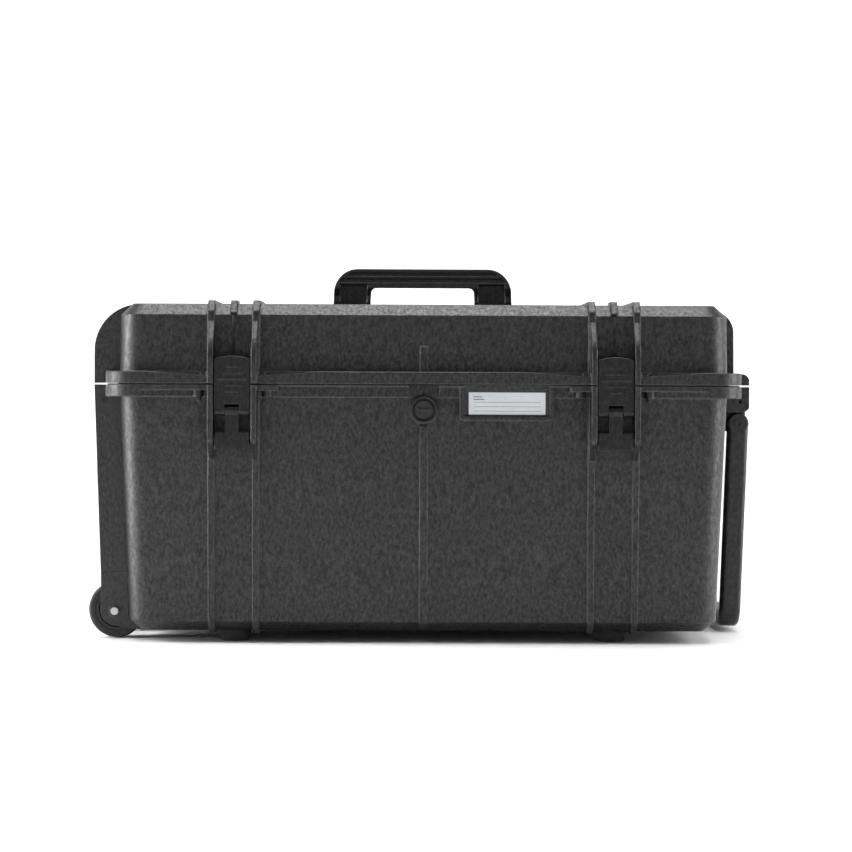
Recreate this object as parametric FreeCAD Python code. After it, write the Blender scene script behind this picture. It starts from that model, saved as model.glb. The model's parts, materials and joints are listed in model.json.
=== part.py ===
"""Wheeled hard-shell drone case, closed, standing on its feet and wheels.

Frame: +X to the side-handle end, +Y to the hinges, +Z up, millimetres.  The origin is on the
ground under the middle of the case.  The latches face -Y and the wheels are at the -X end.
"""
import FreeCAD, Part
import math
import os
from FreeCAD import Vector

# ---------------------------------------------------------------- driving dimensions
HALF_X = 309.3                # tub wall to centre plane at the rim, along the length
HALF_Y = 236.0                # the same across the depth
WALL = 4.0
CORNER_R = 24.0               # upright corners of the tub and lid
BASE_DRAFT_DEG = 2.2
LID_DRAFT_DEG = 1.0
FOOT_HEIGHT = 12.0
EDGE_CUT = 12.0               # chamfer width round the bottom and top edges
BASE_EDGE_HIGH = 10.0
LID_EDGE_HIGH = 11.5
PARTING_Z = 262.3
RIM_GAP = 1.5
LID_HIGH = 81.5

FLANGE_END = 12.2             # flange overhang at the two ends
FLANGE_FRONT = 22.0           # flange overhang along the front
FLANGE_REAR = 14.0            # and along the back, kept short of the hinge axis
FLANGE_CORNER_R = 30.0
LID_FLANGE_HIGH = 12.25
BASE_FLANGE_HIGH = 12.0
LIP_THICK = 5.0
RING_FRONT = 10.0             # the recessed band behind the lip
LATCH_POCKET_FRONT = 4.0      # what is left of the band between two guards
FLANGE_DROP = 5.0             # slope of the lid flange beside a latch
FLANGE_DROP_LONG = 62.0
LAND_INSET = 1.8              # the land that closes the rim gap, inward from the flange edge
REST_GAP = 0.3                # between bodies that face each other

SEAL_OFFSET = 0.5             # seal centre line, outward from the wall face
GROOVE_WIDE = 4.0
GROOVE_DEEP = 4.5
SEAL_WIDE = 3.6
TONGUE_WIDE = 2.4
TONGUE_HIGH = 2.1

LATCH_X = 192.0               # latches, hinges, rib pairs and feet share this spacing
RIB_NEAR = 19.2
RIB_FAR = 26.2
RIB_FAR_FOOT = 25.4
RIB_PROUD = 4.5
RIB_TOP_PROUD = 3.5
RIB_FOOT_PROUD = 2.5
GUARD_NEAR = 19.0
GUARD_FAR = 24.5
GUARD_FRONT = 28.0
GUARD_DROP = 65.0             # lower end of the base guards, down from the parting line
GUARD_RISE = 54.0             # upper end of the lid guards
PADLOCK_OFFSET = 34.8
PADLOCK_IN = 8.5              # padlock hole, inward from the flange's front edge
PADLOCK_R = 3.2
PADLOCK_BOSS_R = 5.2
CENTRE_RIB_HALF = 4.0
CENTRE_RIB_DROP = 39.0

LATCH_HALF = 18.0
LATCH_FRONT = 26.0            # latch face, outward from the wall face
LATCH_THICK = 6.0
LEVER_RISE = 28.4             # heights of the latch, from the parting line
LEVER_DROP = 33.4
NOTCH_DROP = 20.0
LINK_HIGH_DROP = 47.4
LINK_LOW_DROP = 65.5
LINK_PIN_DROP = 55.0
LEVER_PIN_DROP = 26.5
STEM_HALF = 7.0
LATCH_PIN_R = 2.0
PIN_WALL = 3.3                # plastic round a latch pin
KEEPER_OUT = 14.0             # lid keeper and link pivot, outward from the wall face
RIDGE_STEP = 6.15
RUNNING_GAP = 0.05            # radial clearance of pins that turn

HINGE_OUT = 20.0              # hinge axis, outward from the rear wall face
HINGE_DROP = 1.5
KNUCKLE_R = 8.0
HINGE_PIN_R = 2.5
LID_KNUCKLE_HALF = 7.0
KNUCKLE_GAP = 0.5

VALVE_DROP = 24.5
VALVE_RING_R = 13.8
VALVE_KNOB_R = 9.6
VALVE_STEM_R = 6.0
VALVE_PROUD = 4.0             # boss under the valve, outward from the wall face

LABEL_X0 = 40.6
LABEL_LONG = 85.9
LABEL_DROP = 31.0
LABEL_RIM = 4.5

FOOT_R = 16.5
FOOT_IN = 44.0                # foot centres, inward from the rim wall across the depth
FOOT_SCREW_R = 2.0

COVER_OUT = 27.0              # trolley housing, outward from the left wall face
COVER_IN = 33.0               # housing cheeks, inward from the rim wall
COVER_WALL = 3.0
COVER_CHEEK = 4.0
COVER_TAPER = 6.8
CHANNEL_GAP = 47.0            # between a wheel and the housing channel
CHANNEL_LOW_Z = 18.0
SCREW_DROPS = (73.3, 16.0)
SCREW_OUT = 15.2
LUG_HALF = 6.0                # screw lugs on the tub behind the housing's cheeks
LUG_LONG = 12.0

TUBE_OUT = 11.0               # trolley tube axis, outward from the left wall face
TUBE_IN = 27.0                # tube axis, inward from the channel's side
TUBE_LOW_Z = 20.0
TUBE_WIDE = 16.0              # the outermost tube; each stage inside is one wall and gap less
TUBE_DEEP = 14.0
TUBE_WALL = 1.0
TUBE_GAP = 0.3
GRIP_RISE = 24.0              # underside of the grip bar, up from the parting line
GRIP_HIGH = 21.0
GRIP_PAST_TUBE = 35.0
BUTTON_TRAVEL = 3.5
BUTTON_HALF = 20.0

WHEEL_R = 29.0
WHEEL_LIFT = 0.8              # the wheels hang just clear of the ground
WHEEL_OUT = 6.0               # wheel axis, outward from the left wall face
WHEEL_WIDE = 24.0
WHEEL_IN = 20.0               # wheel's outer face, inward from the cheek's
TYRE_THICK = 7.0
AXLE_R = 3.8
BUSH_THICK = 2.2
BRACKET_OUT = 20.0
BRACKET_HIGH = 12.0           # bracket's top, above the wheel

TOP_HANDLE_HALF = 96.5
TOP_HANDLE_WINDOW = 56.5
TOP_HANDLE_HIGH = 46.0        # above the lid
TOP_HANDLE_BAR = 20.7
TOP_HANDLE_CORNER_R = 27.0
TOP_HANDLE_FRONT = 9.5        # the bar's face, forward of the pivot
TOP_LEG_FRONT = 5.5
TOP_EYE_R = 3.4
TOP_PIN_R = 1.9
TOP_EAR_THICK = 5.5
TOP_SCREW_IN = 12.5           # bracket screws, inward from the handle's leg

SIDE_PIVOT_OUT = 26.5         # side handle pivot, outward from the right wall face
SIDE_PIVOT_DROP = 39.6
SIDE_HALF_Y = 105.0
SIDE_ARM = 14.0
SIDE_BEND_R = 17.0
SIDE_ROUND = 5.0
SIDE_THICK = 22.4
SIDE_LOW_Z = 5.0
SIDE_TILT_DEG = 2.1
SIDE_PIN_R = 3.0
HOOD_OUT = 38.0

FOAM_GAP = 1.0
FOAM_FLOOR_HIGH = 42.0
FOAM_DROP = 6.3               # top of the tray, down from the parting line
LID_FOAM_RISE = 11.7          # face of the lid pad, up from the parting line
WELL_BORDER = 38.0            # foam left outside the wells
WELL_RIB = 22.0               # foam left between two wells
DRONE_LONG = 340.0
DRONE_WIDE = 112.0
DRONE_DEEP = 158.0
DRONE_LEDGE = 4.0              # step left at each end of the deep middle of the H
BOOM_WIDE = 56.0
BOOM_DEEP = 95.0
BATTERY_DEEP = 110.0
CHARGER_WIDE = 62.0
CHARGER_DEEP = 120.0
CONTROLLER_LONG = 120.0
CONTROLLER_DEEP = 130.0
WELL_R = 12.0

# ---------------------------------------------------------------- derived positions
BASE_TOP = PARTING_Z - RIM_GAP / 2
LID_LOW = PARTING_Z + RIM_GAP / 2
LID_TOP_Z = PARTING_Z + LID_HIGH
LID_FLANGE_TOP = LID_LOW + LID_FLANGE_HIGH
BASE_FLANGE_LOW = BASE_TOP - BASE_FLANGE_HIGH
FLANGE_Y = HALF_Y + FLANGE_FRONT
PADLOCK_Y = -FLANGE_Y + PADLOCK_IN
GUARD_Y = HALF_Y + GUARD_FRONT
GUARD_LOW_Z = PARTING_Z - GUARD_DROP
GUARD_HIGH_Z = PARTING_Z + GUARD_RISE
LATCH_Y = HALF_Y + LATCH_FRONT
KEEPER_Y = HALF_Y + KEEPER_OUT
LEVER_TOP_Z = PARTING_Z + LEVER_RISE
LEVER_LOW_Z = PARTING_Z - LEVER_DROP
NOTCH_TOP_Z = PARTING_Z - NOTCH_DROP
LINK_HIGH_Z = PARTING_Z - LINK_HIGH_DROP
LINK_LOW_Z = PARTING_Z - LINK_LOW_DROP
LINK_PIN_Z = PARTING_Z - LINK_PIN_DROP
LEVER_PIN_Z = PARTING_Z - LEVER_PIN_DROP
HINGE_Y = HALF_Y + HINGE_OUT
HINGE_Z = PARTING_Z - HINGE_DROP
VALVE_Z = PARTING_Z - VALVE_DROP
LABEL_X1 = LABEL_X0 + LABEL_LONG
LABEL_Z0 = PARTING_Z - LABEL_DROP
FOOT_Y = HALF_Y - FOOT_IN
COVER_X = HALF_X + COVER_OUT
COVER_HALF_Y = HALF_Y - COVER_IN
SCREW_Z = [PARTING_Z - drop for drop in SCREW_DROPS]
WHEEL_X = HALF_X + WHEEL_OUT
WHEEL_Z = WHEEL_R + WHEEL_LIFT
WHEEL_Y = COVER_HALF_Y - WHEEL_IN
COVER_LOW_Z = WHEEL_Z + WHEEL_R + BRACKET_HIGH
CHANNEL_HALF_Y = WHEEL_Y - WHEEL_WIDE - CHANNEL_GAP
TUBE_X = HALF_X + TUBE_OUT
TUBE_Y = CHANNEL_HALF_Y - TUBE_IN
TUBE_STEP = 2 * (TUBE_WALL + TUBE_GAP)
TUBE_SIZES = [(TUBE_WIDE - stage * TUBE_STEP, TUBE_DEEP - stage * TUBE_STEP) for stage in range(4)]
GRIP_LOW_Z = PARTING_Z + GRIP_RISE
GRIP_HIGH_Z = GRIP_LOW_Z + GRIP_HIGH
GRIP_HALF_Y = TUBE_Y + GRIP_PAST_TUBE
TOP_PIVOT_Z = LID_TOP_Z + REST_GAP + TOP_EYE_R
TOP_HANDLE_HIGH_Z = LID_TOP_Z + TOP_HANDLE_HIGH
SIDE_PIVOT_X = HALF_X + SIDE_PIVOT_OUT
SIDE_PIVOT_Z = PARTING_Z - SIDE_PIVOT_DROP
HOOD_X = HALF_X + HOOD_OUT
HOOD_LOW_Z = SIDE_PIVOT_Z + SIDE_THICK / 2 + 0.7
FOAM_TOP_Z = PARTING_Z - FOAM_DROP
LID_FOAM_LOW_Z = PARTING_Z + LID_FOAM_RISE
BASE_END_BAND = 2.2           # rim left outside the wall beside the trolley tubes
LID_END_BAND = 3.6
FAR = 2000.0


# ---------------------------------------------------------------- shape helpers
def block(x0, x1, y0, y1, z0, z1):
    """Box between two corners, given in any order."""
    low = Vector(min(x0, x1), min(y0, y1), min(z0, z1))
    return Part.makeBox(abs(x1 - x0), abs(y1 - y0), abs(z1 - z0), low)


def rod(start, axis, length, radius):
    """Cylinder from a start point along an axis."""
    return Part.makeCylinder(radius, length, Vector(*start), Vector(*axis))


def outline(corners, place):
    """Closed wire through corners (u, v) or (u, v, fillet radius)."""
    points = [(corner[0], corner[1], corner[2] if len(corner) > 2 else 0.0) for corner in corners]
    stretches = []
    for index, (u, v, radius) in enumerate(points):
        here = Vector(u, v, 0)
        before = Vector(*points[index - 1][:2], 0) - here
        after = Vector(*points[(index + 1) % len(points)][:2], 0) - here
        before.normalize()
        after.normalize()
        if radius <= 0:
            stretches.append((here, None, here))
            continue
        half_angle = before.getAngle(after) / 2
        reach = radius / math.tan(half_angle)
        inward = before + after
        inward.normalize()
        middle = here + inward * (radius / math.sin(half_angle) - radius)
        stretches.append((here + before * reach, middle, here + after * reach))
    edges = []
    for index, (enter, middle, leave) in enumerate(stretches):
        last = stretches[index - 1][2]
        if last.distanceToPoint(enter) > 1e-6:
            edges.append(Part.makeLine(place(last), place(enter)))
        if middle is not None:
            edges.append(Part.Arc(place(enter), place(middle), place(leave)).toShape())
    return Part.Wire(edges)


def plate_x(corners, low, high):
    """Outline in (y, z), thick along X."""
    wire = outline(corners, lambda p: Vector(low, p.x, p.y))
    return Part.Face(wire).extrude(Vector(high - low, 0, 0))


def plate_y(corners, low, high):
    """Outline in (x, z), thick along Y."""
    wire = outline(corners, lambda p: Vector(p.x, low, p.y))
    return Part.Face(wire).extrude(Vector(0, high - low, 0))


def plate_z(corners, low, high):
    """Outline in (x, y), thick along Z."""
    wire = outline(corners, lambda p: Vector(p.x, p.y, low))
    return Part.Face(wire).extrude(Vector(0, 0, high - low))


def rectangle(half_x, half_y, radius):
    """Corners of a centred rectangle with round corners."""
    return [(-half_x, -half_y, radius), (half_x, -half_y, radius),
            (half_x, half_y, radius), (-half_x, half_y, radius)]


def stack(sections):
    """Solid through level rectangles (half_x, half_y, corner radius, z)."""
    wires = [outline(rectangle(a, b, r), lambda p, z=z: Vector(p.x, p.y, z))
             for a, b, r, z in sections]
    pieces = [Part.makeLoft([low, high], True, True) for low, high in zip(wires, wires[1:])]
    return join(pieces)


def join(shapes):
    """One solid from touching or overlapping shapes."""
    shapes = list(shapes)
    return shapes[0].multiFuse(shapes[1:]).removeSplitter() if len(shapes) > 1 else shapes[0]


def turned(profile, centre, axis):
    """Solid of revolution: profile (radius, distance along the axis)."""
    wire = outline(profile, lambda p: Vector(p.x, 0, p.y))
    solid = Part.Face(wire).revolve(Vector(0, 0, 0), Vector(0, 0, 1), 360)
    turn = FreeCAD.Rotation(Vector(0, 0, 1), Vector(*axis))
    solid.Placement = FreeCAD.Placement(Vector(*centre), turn)
    return solid


def mirror_y(shape):
    return shape.mirror(Vector(0, 0, 0), Vector(0, 1, 0))


def rounded(shape, radius, wanted=lambda edge: True):
    """Fillet the wanted edges."""
    return shape.makeFillet(radius, [edge for edge in shape.Edges if wanted(edge)])


def save(node, shapes):
    """Write one node; several shapes stay separate solids."""
    shapes = shapes if isinstance(shapes, list) else [shapes]
    solids = [solid for shape in shapes for solid in shape.Solids]
    whole = solids[0] if len(solids) == 1 else Part.makeCompound(solids)
    whole.exportStep("parts/" + node + ".step")


# ---------------------------------------------------------------- tub and lid bodies
def base_inset(z):
    """How far the drafted tub wall has come in at height z."""
    return (PARTING_Z - z) * math.tan(math.radians(BASE_DRAFT_DEG))


def tub(grow=0.0, top=BASE_TOP):
    """The base as a solid block, grown outward by some amount."""
    knee = FOOT_HEIGHT + BASE_EDGE_HIGH
    low = FOOT_HEIGHT - grow

    def section(z, extra):
        return (HALF_X - base_inset(z) + extra, HALF_Y - base_inset(z) + extra,
                CORNER_R + extra, z)

    return stack([section(low, grow - EDGE_CUT), section(knee, grow), section(top, grow)])


def lid_block(grow=0.0, low=LID_LOW):
    """The lid as a solid block, grown outward by some amount."""
    def section(z, extra):
        inset = (z - PARTING_Z) * math.tan(math.radians(LID_DRAFT_DEG))
        return (HALF_X - inset + extra, HALF_Y - inset + extra, CORNER_R + extra, z)

    knee = LID_TOP_Z - LID_EDGE_HIGH
    return stack([section(low, grow), section(knee, grow), section(LID_TOP_Z + grow, grow - EDGE_CUT)])


def band(extra_x, extra_y, radius, z0, z1):
    """Prism that follows the rim, grown outward from the wall face."""
    return stack([(HALF_X + extra_x, HALF_Y + extra_y, radius, z0),
                  (HALF_X + extra_x, HALF_Y + extra_y, radius, z1)])


def seal_ring(width, z0, z1):
    """Ring of the given width on the seal's centre line."""
    outer = SEAL_OFFSET + width / 2
    inner = SEAL_OFFSET - width / 2
    return band(outer, outer, CORNER_R + outer, z0, z1).cut(
        band(inner, inner, CORNER_R + inner, z0 - 1, z1 + 1))


def at_both_latches(make):
    """The shapes that make(centre_x, side) returns for the left and right latch."""
    return [shape for side in (-1, 1) for shape in make(side * LATCH_X, side)]


def base_ribs():
    """Rib pairs that run down the front, under the floor and up the back."""
    top = BASE_TOP
    foot_z = FOOT_HEIGHT - RIB_FOOT_PROUD
    top_y = HALF_Y - base_inset(top) + RIB_PROUD
    knee_z = FOOT_HEIGHT + BASE_EDGE_HIGH
    knee_y = HALF_Y - base_inset(knee_z) + RIB_PROUD
    foot_y = knee_y - EDGE_CUT + 2
    profile = [(-top_y, top), (-knee_y, knee_z - 2, 8), (-foot_y, foot_z, 4),
               (foot_y, foot_z, 4), (knee_y, knee_z - 2, 8), (top_y, top)]

    def pair(centre, _side):
        ribs = []
        for way in (-1, 1):
            near, far, far_foot = (centre + way * d for d in (RIB_NEAR, RIB_FAR, RIB_FAR_FOOT))
            slab = plate_x(profile, min(near, far), max(near, far))
            taper = plate_y([(near, top), (far, top), (far_foot, foot_z), (near, foot_z)], -FAR, FAR)
            ribs.append(slab.common(taper))
        return ribs

    return at_both_latches(pair)


def base_guards():
    """Cheeks that stand each side of a latch, and the bosses for a padlock."""
    profile = [(-HALF_Y + 6, BASE_TOP), (-GUARD_Y, BASE_TOP), (-GUARD_Y, GUARD_LOW_Z + 8, 9),
               (-GUARD_Y + 14, GUARD_LOW_Z - 3, 8), (-HALF_Y + 6, GUARD_LOW_Z - 16)]

    def pair(centre, _side):
        made = []
        for way in (-1, 1):
            near = centre + way * GUARD_NEAR
            far = centre + way * GUARD_FAR
            made.append(plate_x(profile, min(near, far), max(near, far)))
            boss_x = centre + way * PADLOCK_OFFSET
            made.append(rod((boss_x, PADLOCK_Y, BASE_FLANGE_LOW), (0, 0, 1), BASE_FLANGE_HIGH,
                            PADLOCK_BOSS_R))
            made.append(block(boss_x - 1.5, boss_x + 1.5, PADLOCK_Y, -HALF_Y + 2,
                              BASE_FLANGE_LOW - 4, BASE_FLANGE_LOW + 2))
        return made

    return at_both_latches(pair)


def base_flange():
    """Recessed band all round, thin lip outside the latches, thick corners, tabs."""
    ring = band(FLANGE_END, RING_FRONT, FLANGE_CORNER_R - 4, BASE_FLANGE_LOW, BASE_TOP)
    lip = band(FLANGE_END, FLANGE_FRONT, FLANGE_CORNER_R, BASE_TOP - LIP_THICK, BASE_TOP)
    inner_x = LATCH_X - RIB_FAR
    lip = lip.cut(block(-inner_x, inner_x, -FLANGE_Y - 1, -HALF_Y - RING_FRONT, 0, FAR))
    corner = band(FLANGE_END, FLANGE_FRONT, FLANGE_CORNER_R, BASE_FLANGE_LOW + 0.5, BASE_TOP)
    corner_end = HALF_X - FLANGE_CORNER_R + FLANGE_END
    ramp = LATCH_X + PADLOCK_OFFSET
    corner = corner.cut(plate_z([(-ramp, -HALF_Y - RING_FRONT), (-corner_end, -FLANGE_Y - 1),
                                 (corner_end, -FLANGE_Y - 1), (ramp, -HALF_Y - RING_FRONT),
                                 (ramp, FAR), (-ramp, FAR)], 0, FAR))
    land = band(FLANGE_END - LAND_INSET, FLANGE_FRONT - LAND_INSET, FLANGE_CORNER_R - LAND_INSET,
                BASE_TOP - 1, LID_LOW - REST_GAP)
    pieces = [piece.cut(rear_cut()) for piece in [ring, lip, land] + corner.Solids]
    for side in (-1, 1):
        root_x = side * (inner_x + 1)
        tip_x = side * (inner_x - 21)
        tab = [(root_x, -HALF_Y - 6), (root_x, -FLANGE_Y), (tip_x, -FLANGE_Y, 6), (tip_x, -HALF_Y - 6)]
        pieces.append(plate_z(tab, BASE_TOP - 5.6, BASE_TOP))
    return pieces


def rear_cut():
    """Block that trims a flange short of the hinge axis."""
    return block(-FAR, FAR, HALF_Y + FLANGE_REAR, FAR, 0, FAR)


def wheel_space(grow):
    """Drum round each wheel, through the lower corner of the tub."""
    drums = []
    for side in (-1, 1):
        y0 = -WHEEL_Y - 2 - grow
        drum = rod((-WHEEL_X, y0, WHEEL_Z), (0, 1, 0), WHEEL_WIDE + 4 + 2 * grow, WHEEL_R + 2.5 + grow)
        drums.append(drum if side < 0 else mirror_y(drum))
    return drums


def hinge_knuckle(x0, x1, arm_z0, arm_z1):
    """Barrel on the hinge axis with an arm back to the wall."""
    barrel = rod((x0, HINGE_Y, HINGE_Z), (1, 0, 0), x1 - x0, KNUCKLE_R)
    arm = block(x0, x1, HALF_Y - 1, HINGE_Y, arm_z0, arm_z1)
    return [barrel, arm]


def side_bracket():
    """Hood over the top of the side handle, with two ears that carry it."""
    low_z = HOOD_LOW_Z
    hood = plate_y([(HALF_X - 2, BASE_TOP), (HOOD_X, BASE_TOP), (HOOD_X, low_z + 4, 3),
                    (HOOD_X - 5, low_z, 3), (HALF_X - 2, low_z)], -SIDE_HALF_Y, SIDE_HALF_Y)
    hollow = block(HALF_X, HOOD_X - WALL, -SIDE_HALF_Y + WALL, SIDE_HALF_Y - WALL,
                   low_z - 10, BASE_TOP - LIP_THICK)
    hood = hood.cut(hollow)
    ears = []
    for side in (-1, 1):
        inner = side * (SIDE_HALF_Y - SIDE_ARM - KNUCKLE_GAP - 10)
        outer = side * (SIDE_HALF_Y - SIDE_ARM - KNUCKLE_GAP)
        ear_r = 3 * SIDE_PIN_R
        ear = plate_y([(HALF_X - 3, BASE_TOP - 2), (SIDE_PIVOT_X + ear_r, BASE_TOP - 2),
                       (SIDE_PIVOT_X + ear_r, SIDE_PIVOT_Z - ear_r, ear_r - 0.1),
                       (SIDE_PIVOT_X - ear_r, SIDE_PIVOT_Z - ear_r, ear_r - 1),
                       (HALF_X - 3, SIDE_PIVOT_Z - 4)], min(inner, outer), max(inner, outer))
        ears.append(ear)
    return [hood] + ears


def base_shell():
    body = [tub()] + base_ribs() + base_guards() + base_flange()
    body += side_bracket()
    rib_top = PARTING_Z - CENTRE_RIB_DROP
    rib_low = FOOT_HEIGHT + BASE_EDGE_HIGH
    centre_rib = plate_x([(-HALF_Y + 5, rib_top), (-HALF_Y - 2.5, rib_top, 3),
                          (-HALF_Y + base_inset(rib_low) - 4, rib_low - 2, 3), (-HALF_Y + 20, rib_low - 8)],
                         -CENTRE_RIB_HALF, CENTRE_RIB_HALF)
    body.append(centre_rib)
    body.append(rod((0, -HALF_Y - VALVE_PROUD, VALVE_Z), (0, 1, 0), 2 * VALVE_PROUD, VALVE_RING_R + 1))
    body.append(plate_y([(LABEL_X0 - LABEL_RIM, BASE_TOP), (LABEL_X1 + LABEL_RIM, BASE_TOP),
                         (LABEL_X1 + LABEL_RIM, LABEL_Z0 - LABEL_RIM, 5),
                         (LABEL_X0 - LABEL_RIM, LABEL_Z0 - LABEL_RIM, 5)], -HALF_Y - 14.3, -HALF_Y + 3))
    for z in SCREW_Z:
        for side in (-1, 1):
            edge = side * (COVER_HALF_Y - COVER_CHEEK - 0.2)
            body.append(block(-HALF_X + 6, -HALF_X - SCREW_OUT - 4.5, edge, edge - side * LUG_LONG,
                              z - LUG_HALF, z + LUG_HALF))
    for centre in (-LATCH_X, LATCH_X):
        for way in (-1, 1):
            inner = centre + way * (LID_KNUCKLE_HALF + KNUCKLE_GAP)
            outer = centre + way * LATCH_HALF
            body += hinge_knuckle(min(inner, outer), max(inner, outer), BASE_FLANGE_LOW, HINGE_Z)
    shell = join(body)

    cavity_low = FOOT_HEIGHT + WALL
    knee = FOOT_HEIGHT + BASE_EDGE_HIGH + WALL / 2

    def inner(z, extra):
        return (HALF_X - base_inset(z) - WALL - extra, HALF_Y - base_inset(z) - WALL - extra,
                CORNER_R - WALL - extra / 2, z)

    cavity = stack([inner(cavity_low, EDGE_CUT), inner(knee, 0), inner(LID_LOW + 1, 0)])
    cavity = cavity.cut(join(wheel_space(3.0)))
    cuts = [cavity] + wheel_space(0.0)
    left = -HALF_X - BASE_END_BAND
    lug_top = SCREW_Z[1] + LUG_HALF
    cuts.append(block(left, -FAR, -COVER_HALF_Y - 1.5, COVER_HALF_Y + 1.5, lug_top, FAR))
    for side in (-1, 1):
        lug_inner = side * (COVER_HALF_Y - COVER_CHEEK - LUG_LONG - 1)
        cuts.append(block(left, -FAR, 0, lug_inner, BASE_FLANGE_LOW - 1, FAR))
        cuts.append(block(left, -FAR, side * (COVER_HALF_Y - COVER_CHEEK - 0.2),
                          side * (COVER_HALF_Y + 1.5), BASE_FLANGE_LOW - 1, FAR))
    for centre in (-LATCH_X, LATCH_X):
        cuts.append(block(centre - GUARD_NEAR, centre + GUARD_NEAR, -FAR, -HALF_Y - LATCH_POCKET_FRONT,
                          BASE_FLANGE_LOW - 20, FAR))
        cuts.append(rod((centre - LID_KNUCKLE_HALF - KNUCKLE_GAP, HINGE_Y, HINGE_Z), (1, 0, 0),
                        2 * (LID_KNUCKLE_HALF + KNUCKLE_GAP), KNUCKLE_R + 0.6))
        cuts.append(rod((centre - RIB_NEAR, HINGE_Y, HINGE_Z), (1, 0, 0), 2 * RIB_NEAR,
                        HINGE_PIN_R + RUNNING_GAP))
        for side in (-1, 1):
            cuts.append(rod((centre + side * PADLOCK_OFFSET, PADLOCK_Y, BASE_FLANGE_LOW - 6),
                            (0, 0, 1), 30, PADLOCK_R))
            foot_y = side * FOOT_Y
            cuts.append(rod((centre, foot_y, 0), (0, 0, 1), FOOT_HEIGHT + WALL + 1, FOOT_SCREW_R + 0.1))
        cuts.append(rod((centre - GUARD_FAR - 1, -KEEPER_Y, LINK_PIN_Z), (1, 0, 0),
                        2 * GUARD_FAR + 2, LATCH_PIN_R + RUNNING_GAP))
    cuts.append(block(-15.3, 15.3, -FAR, -HALF_Y - LATCH_POCKET_FRONT, VALVE_Z + VALVE_RING_R - 3, FAR))
    cuts.append(rod((0, -HALF_Y - 10, VALVE_Z), (0, 1, 0), 40, VALVE_STEM_R + 0.1))
    cuts.append(block(LABEL_X0, LABEL_X1, -HALF_Y - 20, -HALF_Y - 9, LABEL_Z0, BASE_TOP + 1))
    for z in SCREW_Z:
        cuts.append(rod((-HALF_X - SCREW_OUT, -COVER_HALF_Y, z), (0, 1, 0), 2 * COVER_HALF_Y, 1.85))
    for side in (-1, 1):
        cuts.append(rod((SIDE_PIVOT_X, side * SIDE_HALF_Y, SIDE_PIVOT_Z), (0, -side, 0), 30,
                        SIDE_PIN_R + RUNNING_GAP))
        cuts.append(rod((HOOD_X - 10, side * (SIDE_HALF_Y + 1), HOOD_LOW_Z + 11), (0, -side, 0), 8, 1.8))
    for cutter in cuts:
        shell = shell.cut(cutter)
    tongue = seal_ring(TONGUE_WIDE, BASE_TOP - 1, BASE_TOP + TONGUE_HIGH)
    shell = shell.fuse(tongue).removeSplitter()
    return shell


def lid_ribs():
    """Rib pairs over the lid, the short ribs between them and the middle rib."""
    knee_z = LID_TOP_Z - LID_EDGE_HIGH
    top_z = LID_TOP_Z + RIB_TOP_PROUD
    side_y = HALF_Y + RIB_PROUD
    crest_y = HALF_Y - EDGE_CUT + RIB_PROUD - 1
    profile = [(-side_y, LID_LOW), (-side_y + 1.2, knee_z + 3, 8), (-crest_y, top_z, 5),
               (crest_y, top_z, 5), (side_y - 1.2, knee_z + 3, 8), (side_y, LID_LOW)]
    ribs = []
    for centre in (-LATCH_X, LATCH_X):
        for way in (-1, 1):
            near = centre + way * RIB_NEAR
            far = centre + way * RIB_FAR
            ribs.append(plate_x(profile, min(near, far), max(near, far)))
        short = [(-crest_y - 11, knee_z + 2), (-crest_y, top_z, 5), (-crest_y + 34, top_z, 2),
                 (-crest_y + 36, knee_z)]
        ribs.append(plate_x(short, centre - 3.25, centre + 3.25))
        ribs.append(block(centre - 0.8, centre + 0.8, -HALF_Y - 0.9, -HALF_Y + 6, LEVER_TOP_Z, knee_z))
    middle = [(-HALF_Y + 4, LID_FLANGE_TOP - 2), (-HALF_Y - 4, LID_FLANGE_TOP - 2),
              (-HALF_Y - 3, LID_FLANGE_TOP + 25, 3), (-HALF_Y + 4, LID_FLANGE_TOP + 29)]
    ribs.append(plate_x(middle, -CENTRE_RIB_HALF, CENTRE_RIB_HALF))
    return ribs


def lid_guards():
    """Cheeks each side of a latch, sweeping back to the top of the lid."""
    profile = [(-HALF_Y + 6, LID_LOW), (-GUARD_Y, LID_LOW), (-GUARD_Y, LID_LOW + 34, 40),
               (-HALF_Y - 2, GUARD_HIGH_Z + 12, 20), (-HALF_Y + 6, GUARD_HIGH_Z + 16)]

    def pair(centre, _side):
        return [plate_x(profile, min(centre + way * GUARD_NEAR, centre + way * GUARD_FAR),
                        max(centre + way * GUARD_NEAR, centre + way * GUARD_FAR)) for way in (-1, 1)]

    return at_both_latches(pair)


def lid_flange():
    """Flange round the lid, sloping down at the front beside each latch."""
    flange = band(FLANGE_END, FLANGE_FRONT, FLANGE_CORNER_R, LID_LOW, LID_FLANGE_TOP).cut(rear_cut())
    flange = rounded(flange, 1.5, lambda edge: edge.BoundBox.ZMin > LID_FLANGE_TOP - 0.01)
    for centre in (-LATCH_X, LATCH_X):
        for way in (-1, 1):
            near, far = centre + way * RIB_FAR, centre + way * (RIB_FAR + FLANGE_DROP_LONG)
            faces = []
            for x, drop in ((near, FLANGE_DROP), (far, 0.02)):
                corners = [(-FLANGE_Y - 1, LID_FLANGE_TOP + 1), (-HALF_Y - 4, LID_FLANGE_TOP + 1),
                           (-HALF_Y - 4, LID_FLANGE_TOP - 0.01), (-FLANGE_Y - 1, LID_FLANGE_TOP - drop)]
                faces.append(outline(corners, lambda p, x=x: Vector(x, p.x, p.y)))
            flange = flange.cut(Part.makeLoft(faces, True, True))
    return flange


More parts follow.
